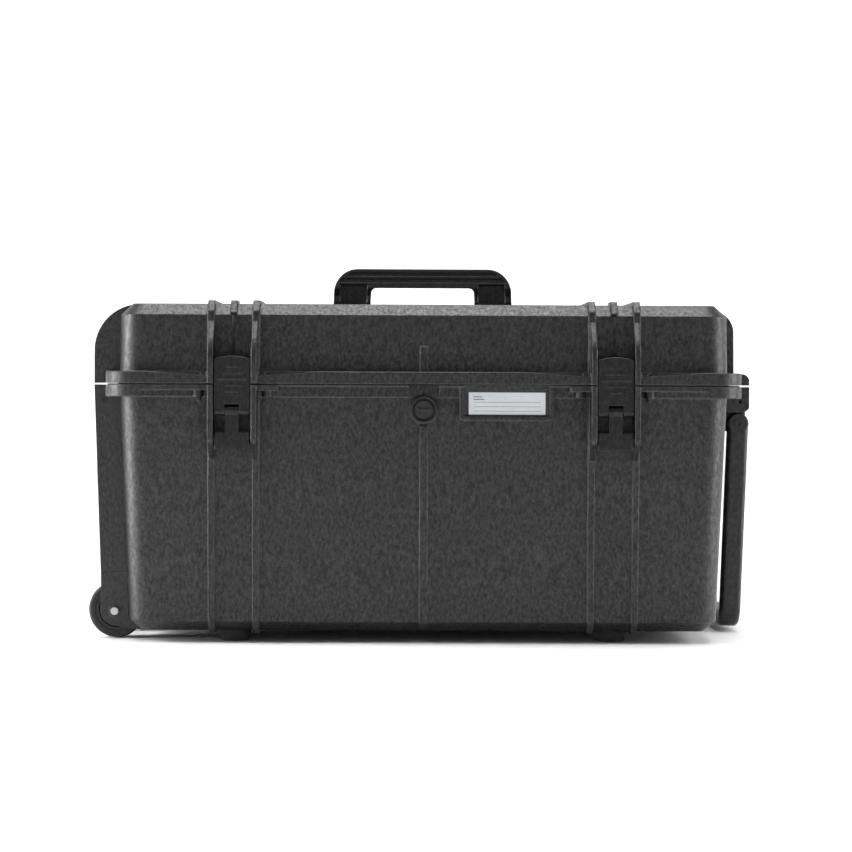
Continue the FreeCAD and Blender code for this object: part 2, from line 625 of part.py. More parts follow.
def lid_wings():
    """Cheeks at the wheel end that shield the trolley grip."""
    left = -COVER_X
    profile = [(-HALF_X + 6, LID_LOW), (left, LID_LOW), (left, LID_TOP_Z, 47), (-HALF_X + 30, LID_TOP_Z),
               (-HALF_X + 30, LID_TOP_Z - 12)]
    wing = plate_y(profile, -COVER_HALF_Y, -COVER_HALF_Y + 6)
    return [wing, mirror_y(wing)]


def lid_end_details():
    """Raised ribs and the lug at the side-handle end."""
    made = []
    knee_z = LID_TOP_Z - LID_EDGE_HIGH
    outer = HALF_Y - CORNER_R - 22
    inner = SIDE_HALF_Y - 5
    for y in (-outer, -inner, inner, outer):
        profile = [(HALF_X - 6, LID_LOW + 4), (HALF_X + 9.3, LID_LOW + 4), (HALF_X + 8.6, knee_z - 4, 22),
                   (HALF_X - EDGE_CUT + 1, LID_TOP_Z - 0.5)]
        made.append(plate_y(profile, y - 3.5, y + 3.5))
    made.append(plate_y([(HALF_X - 2, LID_LOW), (HOOD_X, LID_LOW), (HOOD_X, LID_FLANGE_TOP, 8),
                         (HALF_X - 2, LID_FLANGE_TOP)], -SIDE_HALF_Y, SIDE_HALF_Y))
    return made


def lid_shell():
    body = [lid_block(), lid_flange()] + lid_ribs() + lid_guards() + lid_wings() + lid_end_details()
    for centre in (-LATCH_X, LATCH_X):
        body.append(block(centre - LATCH_HALF, centre + LATCH_HALF, -KEEPER_Y, -HALF_Y,
                          LID_LOW + 1.5, LID_FLANGE_TOP + 2))
        body += hinge_knuckle(centre - LID_KNUCKLE_HALF, centre + LID_KNUCKLE_HALF,
                              LID_LOW, LID_FLANGE_TOP - 3)
    knee = LID_TOP_Z - LID_EDGE_HIGH - WALL / 2

    def inner(z, extra):
        inset = (z - PARTING_Z) * math.tan(math.radians(LID_DRAFT_DEG))
        return (HALF_X - inset - WALL - extra, HALF_Y - inset - WALL - extra,
                CORNER_R - WALL - extra / 2, z)

    cavity = stack([inner(LID_LOW - 1, 0), inner(knee, 0), inner(LID_TOP_Z - WALL, EDGE_CUT)])
    cuts = [cavity, seal_ring(GROOVE_WIDE, LID_LOW - 1, LID_LOW + GROOVE_DEEP)]
    inside_wings = COVER_HALF_Y - 6
    cuts.append(block(-HALF_X - LID_END_BAND, -FAR, -inside_wings, inside_wings, 0, FAR))
    for centre in (-LATCH_X, LATCH_X):
        cuts.append(block(centre - GUARD_NEAR, centre + GUARD_NEAR, -FAR, -KEEPER_Y, 0, FAR))
        for way in (-1, 1):
            knuckle = centre + way * (LID_KNUCKLE_HALF + LATCH_HALF + KNUCKLE_GAP) / 2
            half = (LATCH_HALF - LID_KNUCKLE_HALF + KNUCKLE_GAP) / 2 + 0.5
            cuts.append(rod((knuckle - half, HINGE_Y, HINGE_Z), (1, 0, 0), 2 * half, KNUCKLE_R + 0.6))
            boss_x = centre + way * PADLOCK_OFFSET
            cuts.append(rod((boss_x, PADLOCK_Y, LID_LOW - 1), (0, 0, 1), 20, PADLOCK_R))
        cuts.append(rod((centre - RIB_NEAR, HINGE_Y, HINGE_Z), (1, 0, 0), 2 * RIB_NEAR,
                        HINGE_PIN_R + RUNNING_GAP))
    for x, y in handle_screw_places():
        cuts.append(rod((x, y, LID_TOP_Z - WALL - 1), (0, 0, 1), WALL + 2, 2.1))
    shell = join(body)
    for cutter in cuts:
        shell = shell.cut(cutter)
    return shell


# ---------------------------------------------------------------- latches
def latch_link(centre):
    """T-shaped arm on the base: a full-width plate with a stem up to the lever pin."""
    front = -LATCH_Y + 2.0
    back = front + LATCH_THICK
    pin_y = -KEEPER_Y
    lever_y = -LATCH_Y + 5.5
    low_x, high_x = centre - LATCH_HALF, centre + LATCH_HALF
    eye_r = LATCH_PIN_R + PIN_WALL
    foot = rounded(block(low_x, high_x, front, back, LINK_LOW_Z, LINK_HIGH_Z), 1.2,
                   lambda edge: edge.BoundBox.YMax < front + 0.01)
    barrel = rod((low_x, pin_y, LINK_PIN_Z), (1, 0, 0), 2 * LATCH_HALF, eye_r)
    web = block(low_x, high_x, back - 1, pin_y, LINK_PIN_Z - 5, LINK_PIN_Z + 5)
    stem = block(centre - STEM_HALF, centre + STEM_HALF, front, front + 7, LINK_HIGH_Z - 4, LEVER_PIN_Z)
    eye = rod((centre - STEM_HALF, lever_y, LEVER_PIN_Z), (1, 0, 0), 2 * STEM_HALF, eye_r)
    link = join([foot, barrel, web, stem, eye])
    for y, z in ((pin_y, LINK_PIN_Z), (lever_y, LEVER_PIN_Z)):
        link = link.cut(rod((centre - 30, y, z), (1, 0, 0), 60, LATCH_PIN_R + RUNNING_GAP))
    return link


def latch_lever(centre):
    """Arched pull with two legs astride the stem, grip ridges and a claw behind."""
    front = -LATCH_Y + 0.8
    back = front + LATCH_THICK
    lever_y = -LATCH_Y + 5.5
    side = LEVER_TOP_Z - 3.0
    left, right = centre - LATCH_HALF, centre + LATCH_HALF
    face = [Vector(left, front, LEVER_PIN_Z), Vector(right, front, LEVER_PIN_Z),
            Vector(right, front, side), Vector(centre, front, LEVER_TOP_Z), Vector(left, front, side)]
    edges = [Part.makeLine(face[0], face[1]), Part.makeLine(face[1], face[2]),
             Part.Arc(face[2], face[3], face[4]).toShape(), Part.makeLine(face[4], face[0])]
    plate = Part.Face(Part.Wire(edges)).extrude(Vector(0, LATCH_THICK, 0))
    plate = rounded(plate, 1.0, lambda edge: edge.BoundBox.YMax < front + 0.01
                    and edge.BoundBox.ZMin > LEVER_PIN_Z + 1)
    pieces = [plate]
    for way in (-1, 1):
        inner = centre + way * (STEM_HALF + 0.5)
        outer = centre + way * LATCH_HALF
        leg = rod((min(inner, outer), lever_y, LEVER_PIN_Z), (1, 0, 0), abs(outer - inner), 4.9)
        pieces.append(leg)
        pieces.append(block(inner, outer, front + 0.3, back + 3, LEVER_PIN_Z, LEVER_PIN_Z + 14))
    claw_z = LID_FLANGE_TOP - 4
    pieces.append(block(centre - 13, centre + 13, back - 1, -KEEPER_Y - 0.8, claw_z, claw_z + 5))
    for step, half in enumerate((6.5, 10.0, 15.5, 10.0, 6.5)):
        z = LEVER_TOP_Z - 11 - step * RIDGE_STEP
        ridge = block(centre - half, centre + half, front - 0.7, front + 1, z - 0.7, z + 0.7)
        pieces.append(ridge)
    lever = join(pieces)
    notch = block(centre - STEM_HALF - 0.5, centre + STEM_HALF + 0.5, front - 5, back + 6,
                  LEVER_LOW_Z - 5, NOTCH_TOP_Z)
    lever = lever.cut(notch)
    return lever.cut(rod((centre - 30, lever_y, LEVER_PIN_Z), (1, 0, 0), 60, LATCH_PIN_R + RUNNING_GAP))


def save_latch(name, centre):
    save("latch_" + name + "_link", latch_link(centre))
    save("latch_" + name + "_lever", latch_lever(centre))
    lever_pin = rod((centre - LATCH_HALF, -LATCH_Y + 5.5, LEVER_PIN_Z), (1, 0, 0), 2 * LATCH_HALF,
                    LATCH_PIN_R)
    save("latch_" + name + "_lever_pin", lever_pin)


# ---------------------------------------------------------------- valve, label, feet
def save_valve():
    face = -HALF_Y - VALVE_PROUD
    bore = VALVE_STEM_R - 2.0
    rim = VALVE_RING_R - 2.2
    centre = (0, face, VALVE_Z)
    ring = turned([(bore, 0), (VALVE_RING_R, 0), (VALVE_RING_R, 6.4, 1.0), (rim, 6.4, 0.8), (rim, 1.5),
                   (bore, 1.5)], centre, (0, -1, 0))
    end = -VALVE_PROUD - WALL - 6
    stem = turned([(bore, 0), (VALVE_STEM_R, 0), (VALVE_STEM_R, end), (bore, end)], centre, (0, -1, 0))
    save("valve_body", join([ring, stem]))
    nut = plate_y([(10 * math.cos(math.radians(a)), VALVE_Z + 10 * math.sin(math.radians(a)))
                   for a in range(0, 360, 60)], -HALF_Y + WALL + 1.6, -HALF_Y + WALL + 6.6)
    save("valve_nut", nut.cut(rod((0, -HALF_Y, VALVE_Z), (0, 1, 0), 20, VALVE_STEM_R + 0.1)))
    save("valve_membrane", rod((0, face + 7, VALVE_Z), (0, 1, 0), 1.2, VALVE_STEM_R - 2.2))
    knob = turned([(0, 1.9), (VALVE_KNOB_R, 1.9), (VALVE_KNOB_R, 6.0, 1.2), (0, 6.0)],
                  (0, face, VALVE_Z), (0, -1, 0))
    bar = block(-VALVE_KNOB_R + 3, VALVE_KNOB_R - 3, face - 6.8, face - 5.5, VALVE_Z - 1.2, VALVE_Z + 1.2)
    spigot = rod((0, face - 2.5, VALVE_Z), (0, 1, 0), 8.5, VALVE_STEM_R - 2.0 - RUNNING_GAP)
    save("valve_knob", join([knob, bar, spigot]))


def save_label():
    inset = 0.3
    back = -HALF_Y - 9
    window = block(LABEL_X0 + inset, LABEL_X1 - inset, back - 4.6, back - 1.4,
                   LABEL_Z0 + inset, BASE_TOP - inset)
    pocket = block(LABEL_X0 + 4, LABEL_X1 - 4, back - 3.4, back - 1, LABEL_Z0 + 1.2, BASE_TOP - 2)
    save("label_window", window.cut(pocket))
    save("name_card", block(LABEL_X0 + 4.4, LABEL_X1 - 4.4, back - 2.6, back - 1.9, LABEL_Z0 + 1.5,
                            BASE_TOP - 6.5))


def save_feet():
    feet, screws = [], []
    for x in (-LATCH_X, LATCH_X):
        for y in (-FOOT_Y, FOOT_Y):
            foot = turned([(FOOT_SCREW_R + 0.1, 0), (FOOT_R - 1.5, 0, 1.5), (FOOT_R, FOOT_HEIGHT),
                           (FOOT_SCREW_R + 0.1, FOOT_HEIGHT)], (x, y, 0), (0, 0, 1))
            feet.append(foot.cut(rod((x, y, -1), (0, 0, 1), 6, 5.0)))
            shank = rod((x, y, 5), (0, 0, 1), FOOT_HEIGHT + WALL - 6, FOOT_SCREW_R)
            screws.append(join([shank, rod((x, y, 2), (0, 0, 1), 3, 4.2)]))
    save("rubber_feet", feet)
    save("foot_screws", screws)


# ---------------------------------------------------------------- trolley
def trolley_cover():
    """Housing on the wheel end: tapered cheeks, a straight middle channel, a closed top."""
    def profile(inset, top):
        return [(-HALF_X + 30, top), (-COVER_X + inset, top), (-COVER_X + COVER_TAPER + inset, COVER_LOW_Z),
                (-HALF_X + 30, COVER_LOW_Z)]

    sides = plate_y(profile(0, BASE_TOP), -COVER_HALF_Y, COVER_HALF_Y)
    channel = block(-COVER_X, -HALF_X + 30, -CHANNEL_HALF_Y, CHANNEL_HALF_Y, CHANNEL_LOW_Z, BASE_TOP)
    cover = sides.fuse(channel)
    roof = BASE_TOP - COVER_WALL
    half = COVER_HALF_Y - COVER_CHEEK
    room = plate_y([(x, z - (5 if z == COVER_LOW_Z else 0)) for x, z in profile(COVER_WALL, roof)],
                   -half, half)
    half = CHANNEL_HALF_Y - COVER_WALL
    cover = cover.cut(room).cut(block(-COVER_X + COVER_WALL, 0, -half, half, 0, roof))
    cover = cover.cut(tub(0.3, BASE_TOP + 5))
    cover = cover.cut(block(-HALF_X - BASE_END_BAND - 0.3, 0, -FAR, FAR, BASE_FLANGE_LOW - 0.3, FAR))
    wide, deep = TUBE_SIZES[1]
    for side in (-1, 1):
        hole_x, hole_y = wide / 2 + 0.4, deep / 2 + 0.4
        cover = cover.cut(block(-TUBE_X - hole_x, -TUBE_X + hole_x, side * TUBE_Y - hole_y,
                                side * TUBE_Y + hole_y, roof - 1, FAR))
        for z in SCREW_Z:
            y = side * COVER_HALF_Y
            cover = cover.cut(rod((-HALF_X - SCREW_OUT, y, z), (0, -side, 0), 12, 2.2))
            cover = cover.cut(rod((-HALF_X - SCREW_OUT, y, z), (0, -side, 0), 2, 3.5))
    return max(cover.Solids, key=lambda solid: solid.Volume)


def save_cover_screws():
    screws = []
    for side in (-1, 1):
        for z in SCREW_Z:
            y = side * (COVER_HALF_Y - 0.4)
            head = rod((-HALF_X - SCREW_OUT, y, z), (0, -side, 0), 1.6, 3.2)
            shank = rod((-HALF_X - SCREW_OUT, y, z), (0, -side, 0), 13, 1.75)
            socket = rod((-HALF_X - SCREW_OUT, y, z), (0, -side, 0), 1.0, 1.4)
            screws.append(join([head, shank]).cut(socket))
    save("trolley_cover_screws", screws)


def tube(size, side, z0, z1):
    """Oblong tube centred on the trolley axis."""
    wide, deep = size
    outer = plate_z([(x - TUBE_X, y + side * TUBE_Y, r) for x, y, r in rectangle(wide / 2, deep / 2, 2.5)],
                    z0, z1)
    inner = plate_z([(x - TUBE_X, y + side * TUBE_Y, r) for x, y, r in
                     rectangle(wide / 2 - TUBE_WALL, deep / 2 - TUBE_WALL, 1.5)], z0 - 1, z1 + 1)
    return outer.cut(inner)


def trolley_grip():
    """Bar with two sleeves on the top tubes and a hollow for the button's bridge."""
    half_x = 9.0
    bar = rounded(block(-TUBE_X - half_x, -TUBE_X + half_x - 4, -GRIP_HALF_Y, GRIP_HALF_Y,
                        GRIP_LOW_Z, GRIP_HIGH_Z), 4)
    sleeves = [rounded(block(-TUBE_X - half_x, -TUBE_X + half_x - 4, side * TUBE_Y - 12, side * TUBE_Y + 12,
                             PARTING_Z + 2, GRIP_LOW_Z + 10), 3) for side in (-1, 1)]
    grip = join([bar] + sleeves)
    wide, deep = TUBE_SIZES[3]
    for side in (-1, 1):
        grip = grip.cut(block(-TUBE_X - wide / 2, -TUBE_X + wide / 2, side * TUBE_Y - deep / 2,
                              side * TUBE_Y + deep / 2, PARTING_Z, GRIP_LOW_Z + 3))
    hollow = block(-TUBE_X - 3, -TUBE_X + 3, -TUBE_Y - 5, TUBE_Y + 5, GRIP_LOW_Z + 2, GRIP_HIGH_Z - 5)
    slot = block(-TUBE_X - 3, -TUBE_X + 3, -BUTTON_HALF - 0.5, BUTTON_HALF + 0.5,
                 GRIP_HIGH_Z - 6, GRIP_HIGH_Z + 1)
    return grip.cut(hollow).cut(slot)


def trolley_button():
    cap = rounded(block(-TUBE_X - 2.5, -TUBE_X + 2.5, -BUTTON_HALF, BUTTON_HALF, GRIP_HIGH_Z - 8,
                        GRIP_HIGH_Z + BUTTON_TRAVEL), 1)
    bridge = block(-TUBE_X - 2.5, -TUBE_X + 2.5, -TUBE_Y - 3, TUBE_Y + 3,
                   GRIP_HIGH_Z - 9.5, GRIP_HIGH_Z - 6)
    return join([cap, bridge])


def save_trolley():
    save("trolley_cover", trolley_cover())
    save_cover_screws()
    outer_top = BASE_TOP - COVER_WALL - 0.3
    save("trolley_outer_tubes", [tube(TUBE_SIZES[0], side, TUBE_LOW_Z, outer_top) for side in (-1, 1)])
    tops = (BASE_TOP + 0.5, BASE_TOP + 1.5, GRIP_LOW_Z + 3)
    for stage, top in enumerate(tops, start=1):
        low = TUBE_LOW_Z + 2 * stage
        save("trolley_stage_%d_tubes" % stage, [tube(TUBE_SIZES[stage], s, low, top) for s in (-1, 1)])
    save("trolley_grip", trolley_grip())
    save("trolley_button", trolley_button())
    rod_top = GRIP_HIGH_Z - 9.5
    save("release_rods", [rod((-TUBE_X, s * TUBE_Y, TUBE_LOW_Z + 14), (0, 0, 1),
                              rod_top - TUBE_LOW_Z - 14, 1.4) for s in (-1, 1)])
    low = GRIP_LOW_Z + 2
    path = Part.makeHelix(1.6, rod_top - low - 1.0, 1.6)
    path.translate(Vector(-TUBE_X, 0, low + 0.4))
    ring = Part.Wire(Part.makeCircle(0.3, Vector(-TUBE_X + 1.6, 0, low + 0.4), Vector(0, 1, 0)))
    save("button_spring", Part.Wire(path).makePipeShell([ring], True, True))


# ---------------------------------------------------------------- wheels
def wheel_bracket():
    """Fork for the front wheel: two cheeks and a back plate shaped to the tub."""
    out = -HALF_X - BRACKET_OUT
    top = COVER_LOW_Z - REST_GAP
    nose_r = BRACKET_OUT - WHEEL_OUT
    inner_end = -HALF_X + 34
    profile = [(inner_end, top), (out, top), (out, WHEEL_Z - nose_r + 2, nose_r - 0.1),
               (-HALF_X + 17, FOOT_HEIGHT - 0.5), (inner_end, FOOT_HEIGHT - 0.5)]
    cheek = plate_y(profile, -COVER_HALF_Y, -COVER_HALF_Y + 5)
    inner_y = -WHEEL_Y + WHEEL_WIDE + 3
    inner_cheek = plate_y(profile, inner_y, inner_y + 4)
    boss_length = COVER_HALF_Y - WHEEL_Y - 0.8
    boss = rod((-WHEEL_X, -COVER_HALF_Y, WHEEL_Z), (0, 1, 0), boss_length, 9)
    inner_boss = rod((-WHEEL_X, -WHEEL_Y + WHEEL_WIDE + 0.8, WHEEL_Z), (0, 1, 0), 4, 9)
    ring = rod((-WHEEL_X, -COVER_HALF_Y - 1.2, WHEEL_Z), (0, 1, 0), 3, 6)
    roof = block(out + 2, inner_end, -COVER_HALF_Y + 1, inner_y + 2, top - 4, top)
    bracket = join([cheek, inner_cheek, boss, inner_boss, ring, roof])
    bracket = bracket.cut(tub(0.3)).cut(rod((-WHEEL_X, -FAR, WHEEL_Z), (0, 1, 0), 2 * FAR, AXLE_R + 0.02))
    return max(bracket.Solids, key=lambda solid: solid.Volume)


def save_wheel(name, flip):
    def put(node, shape):
        save(node, mirror_y(shape) if flip else shape)

    centre = (-WHEEL_X, -WHEEL_Y, WHEEL_Z)
    rim_r = WHEEL_R - TYRE_THICK
    bore = AXLE_R + RUNNING_GAP + BUSH_THICK
    hub = turned([(bore, 0), (bore + 4, 0), (bore + 4, 3), (rim_r - 3.5, 4), (rim_r - 3.5, 1), (rim_r, 1),
                  (rim_r, WHEEL_WIDE - 1), (rim_r - 3.5, WHEEL_WIDE - 1), (rim_r - 3.5, WHEEL_WIDE - 4),
                  (bore + 4, WHEEL_WIDE - 3), (bore + 4, WHEEL_WIDE), (bore, WHEEL_WIDE)],
                 centre, (0, 1, 0))
    tyre = turned([(rim_r, 0), (WHEEL_R - 2, 0, 1.5), (WHEEL_R, 3, 2), (WHEEL_R, WHEEL_WIDE - 3, 2),
                   (WHEEL_R - 2, WHEEL_WIDE, 1.5), (rim_r, WHEEL_WIDE)], centre, (0, 1, 0))
    inner_r = AXLE_R + RUNNING_GAP
    bush = turned([(inner_r, 0), (bore, 0), (bore, WHEEL_WIDE), (inner_r, WHEEL_WIDE)],
                  centre, (0, 1, 0))
    put("wheel_" + name + "_hub", hub)
    put("wheel_" + name + "_tyre", tyre)
    put("wheel_" + name + "_bush", bush)
    put("wheel_bracket_" + name, wheel_bracket())
    inner_y = -WHEEL_Y + WHEEL_WIDE + 7
    axle = rod((-WHEEL_X, -COVER_HALF_Y - 1.6, WHEEL_Z), (0, 1, 0), inner_y + COVER_HALF_Y + 5.6, AXLE_R)
    put("axle_" + name, axle)
    clip = rod((-WHEEL_X, inner_y + 0.4, WHEEL_Z), (0, 1, 0), 1.2, AXLE_R + 3.0)
    clip = clip.cut(rod((-WHEEL_X, inner_y, WHEEL_Z), (0, 1, 0), 3, AXLE_R + 0.02))
    gap = block(-WHEEL_X - 2, -WHEEL_X + 2, inner_y - 1, inner_y + 4, WHEEL_Z, WHEEL_Z + 12)
    return mirror_y(clip.cut(gap)) if flip else clip.cut(gap)


# ---------------------------------------------------------------- handles
def handle_screw_places():
    near, far = TOP_HANDLE_WINDOW - TOP_SCREW_IN, TOP_HANDLE_HALF + TOP_SCREW_IN
    return [(side * x, y) for side in (-1, 1) for x in (near, far) for y in (-9.0, 9.0)]


def top_handle():
    """Upright bail with a wide bar, two long slots and recessed legs; it folds to the back."""
    low = TOP_PIVOT_Z - TOP_EYE_R
    back = TOP_EYE_R
    high = TOP_HANDLE_HIGH_Z
    window_top = high - TOP_HANDLE_BAR
    outer, inner = TOP_HANDLE_HALF, TOP_HANDLE_WINDOW
    shape = plate_y([(-outer - 2, low), (-outer, high, TOP_HANDLE_CORNER_R),
                     (outer, high, TOP_HANDLE_CORNER_R), (outer + 2, low), (inner + 1, low),
                     (inner, window_top, 6), (-inner, window_top, 6), (-inner - 1, low)],
                    -TOP_HANDLE_FRONT, back)
    trim = plate_x([(-TOP_HANDLE_FRONT, high, 1.6), (-TOP_HANDLE_FRONT, window_top - 1, 4),
                    (-TOP_LEG_FRONT, window_top - 9, 4), (-TOP_LEG_FRONT, TOP_PIVOT_Z + 6),
                    (-TOP_EYE_R, TOP_PIVOT_Z), (-TOP_EYE_R, low, TOP_EYE_R - 0.1),
                    (back, low, TOP_EYE_R - 0.1), (back, high, 1.6)], -FAR, FAR)
    shape = shape.common(trim)
    for depth, slot_high, reach in ((4.2, 3.6, outer - 17), (10.6, 4.2, outer - 7.5)):
        slot = [(-reach - 3, high - depth - slot_high), (-reach + 1, high - depth),
                (reach - 1, high - depth), (reach + 3, high - depth - slot_high)]
        shape = shape.cut(plate_y(slot, -FAR, -TOP_HANDLE_FRONT + 3.5))
    for side in (-1, 1):
        recess_low = TOP_PIVOT_Z + 5.5
        recess = plate_y([(side * (outer - 5.5), recess_low, 1), (side * (outer - 6), high - 17.2, 1),
                          (side * (inner + 4.5), high - 17.2, 1), (side * (inner + 4.5), recess_low, 1)],
                         -FAR, -TOP_EYE_R + 3)
        shape = shape.cut(recess)
    return shape.cut(rod((-FAR, 0, TOP_PIVOT_Z), (1, 0, 0), 2 * FAR, TOP_PIN_R + RUNNING_GAP))


def save_top_handle():
    save("top_handle", top_handle())
    brackets, pins, screws = [], [], []
    inner, outer = TOP_HANDLE_WINDOW - 1.5, TOP_HANDLE_HALF + 3.5
    plate_top = LID_TOP_Z + 3.2
    for side in (-1, 1):
        base = block(side * (inner - TOP_EAR_THICK - 11), side * (outer + TOP_EAR_THICK + 8), -15, 15,
                     LID_TOP_Z, plate_top)
        room = block(side * inner, side * outer, -20, 20, LID_TOP_Z - 1, plate_top + FAR)
        ears = []
        for x0, x1 in ((inner - TOP_EAR_THICK, inner), (outer, outer + TOP_EAR_THICK)):
            ear_top = TOP_PIVOT_Z + TOP_EYE_R
            ears.append(plate_x([(-9, LID_TOP_Z), (-5, ear_top, TOP_EYE_R), (5, ear_top, TOP_EYE_R),
                                 (9, LID_TOP_Z)], min(side * x0, side * x1), max(side * x0, side * x1)))
        pin_low = min(side * (inner - TOP_EAR_THICK), side * (outer + TOP_EAR_THICK))
        pin_length = outer - inner + 2 * TOP_EAR_THICK
        bracket = join([base] + ears).cut(room)
        bracket = bracket.cut(rod((pin_low - 1, 0, TOP_PIVOT_Z), (1, 0, 0), pin_length + 2,
                                  TOP_PIN_R + 0.02))
        for x, y in handle_screw_places():
            if x * side > 0:
                bracket = bracket.cut(rod((x, y, LID_TOP_Z - 1), (0, 0, 1), 10, 2.1))
        brackets.append(bracket)
        pins.append(rod((pin_low, 0, TOP_PIVOT_Z), (1, 0, 0), pin_length, TOP_PIN_R))
    for x, y in handle_screw_places():
        shank = rod((x, y, LID_TOP_Z - WALL - 4), (0, 0, 1), WALL + 8, 1.9)
        screws.append(join([shank, rod((x, y, plate_top), (0, 0, 1), 2.2, 3.4)]))
    save("top_handle_brackets", brackets)
    save("top_handle_pins", pins)
    save("top_handle_screws", screws)


def side_handle():
    """Bail that hangs beside the end wall, tilted with the wall's draft."""
    arm_y = SIDE_HALF_Y - SIDE_ARM / 2
    low = SIDE_LOW_Z + SIDE_ARM / 2
    bend = SIDE_BEND_R
    slant = bend * (1 - math.sqrt(0.5))

    def at(y, z):
        return Vector(SIDE_PIVOT_X, y, z)

    path = Part.Wire([
        Part.makeLine(at(-arm_y, SIDE_PIVOT_Z), at(-arm_y, low + bend)),
        Part.Arc(at(-arm_y, low + bend), at(-arm_y + slant, low + slant), at(-arm_y + bend, low)).toShape(),
        Part.makeLine(at(-arm_y + bend, low), at(arm_y - bend, low)),
        Part.Arc(at(arm_y - bend, low), at(arm_y - slant, low + slant), at(arm_y, low + bend)).toShape(),
        Part.makeLine(at(arm_y, low + bend), at(arm_y, SIDE_PIVOT_Z))])
    section = outline(rectangle(SIDE_THICK / 2, SIDE_ARM / 2, SIDE_ROUND),
                      lambda p: Vector(SIDE_PIVOT_X + p.x, -arm_y + p.y, SIDE_PIVOT_Z))
    bail = path.makePipeShell([section], True, True)
    eyes = [rod((SIDE_PIVOT_X, side * arm_y - SIDE_ARM / 2, SIDE_PIVOT_Z), (0, 1, 0), SIDE_ARM,
                SIDE_THICK / 2) for side in (-1, 1)]
    bail = join([bail] + [rounded(eye, 2.0) for eye in eyes])
    bail = bail.cut(rod((SIDE_PIVOT_X, -FAR, SIDE_PIVOT_Z), (0, 1, 0), 2 * FAR, SIDE_PIN_R + RUNNING_GAP))
    bail.rotate(Vector(SIDE_PIVOT_X, 0, SIDE_PIVOT_Z), Vector(0, 1, 0), SIDE_TILT_DEG)
    return bail


def save_side_handle():
    save("side_handle", side_handle())
    pins = []
    for side in (-1, 1):
        y = side * (SIDE_HALF_Y + 0.3)
        shank = rod((SIDE_PIVOT_X, y, SIDE_PIVOT_Z), (0, -side, 0), 20, SIDE_PIN_R)
        head = rod((SIDE_PIVOT_X, y, SIDE_PIVOT_Z), (0, side, 0), 1.8, 4.6)
        socket = rod((SIDE_PIVOT_X, y + side * 1.8, SIDE_PIVOT_Z), (0, -side, 0), 1.4, 2.0)
        pins.append(join([shank, head]).cut(socket))
    save("side_handle_pins", pins)


# ---------------------------------------------------------------- foam
def foam_block(z0, z1, inset=FOAM_GAP + WALL):
    """Drafted pad that fills the tub between two heights."""
    def section(z):
        reach = base_inset(z) + inset
        if z < FOOT_HEIGHT + BASE_EDGE_HIGH + WALL:
            reach += EDGE_CUT + 1
        return (HALF_X - reach, HALF_Y - reach, CORNER_R - WALL, z)

    return stack([section(z0), section(z1)]).cut(join(wheel_space(4.0)))


def foam_wells():
    """Wells of the tray as (x0, x1, y0, y1, depth); the first three make an H for the drone."""
    left = -HALF_X + WELL_BORDER
    right = HALF_X - WELL_BORDER
    front, back = -HALF_Y + WELL_BORDER, HALF_Y - WELL_BORDER
    drone_end = left + DRONE_LONG
    charger = right - CHARGER_WIDE
    battery_end = charger - WELL_RIB
    battery = drone_end + WELL_RIB
    first = front + CONTROLLER_LONG + WELL_RIB
    wells = [(left + DRONE_LEDGE, drone_end - DRONE_LEDGE, -DRONE_WIDE / 2, DRONE_WIDE / 2, DRONE_DEEP),
             (left, left + BOOM_WIDE, front, back, BOOM_DEEP),
             (drone_end - BOOM_WIDE, drone_end, front, back, BOOM_DEEP),
             (battery, right, front, front + CONTROLLER_LONG, CONTROLLER_DEEP),
             (charger, right, first, back, CHARGER_DEEP)]
    pitch = (back - first + WELL_RIB) / 3
    for row in range(3):
        y = first + row * pitch
        wells.append((battery, battery_end, y, y + pitch - WELL_RIB, BATTERY_DEEP))
    return wells


def save_foam():
    low = FOOT_HEIGHT + WALL + 0.5
    split = low + FOAM_FLOOR_HIGH
    save("foam_floor_pad", foam_block(low + 8, split - REST_GAP))
    tray = foam_block(split, FOAM_TOP_Z)
    valve_r = VALVE_RING_R
    tray = tray.cut(block(-valve_r, valve_r, -HALF_Y, -HALF_Y + WALL + 12,
                          VALVE_Z - valve_r, FOAM_TOP_Z + 1))
    for x0, x1, y0, y1, depth in foam_wells():
        corners = [(x0, y0, WELL_R), (x1, y0, WELL_R), (x1, y1, WELL_R), (x0, y1, WELL_R)]
        tray = tray.cut(plate_z(corners, FOAM_TOP_Z - depth, FAR))
    save("foam_tray", tray)
    inset = WALL + FOAM_GAP + 1.5
    top = LID_TOP_Z - WALL - 4
    knee = LID_TOP_Z - LID_EDGE_HIGH - WALL
    lid_pad = stack([(HALF_X - inset, HALF_Y - inset, CORNER_R - WALL, LID_FOAM_LOW_Z),
                     (HALF_X - inset, HALF_Y - inset, CORNER_R - WALL, knee),
                     (HALF_X - inset - EDGE_CUT, HALF_Y - inset - EDGE_CUT, CORNER_R - WALL - 6,
                      top - 0.5)])
    save("lid_foam", lid_pad)


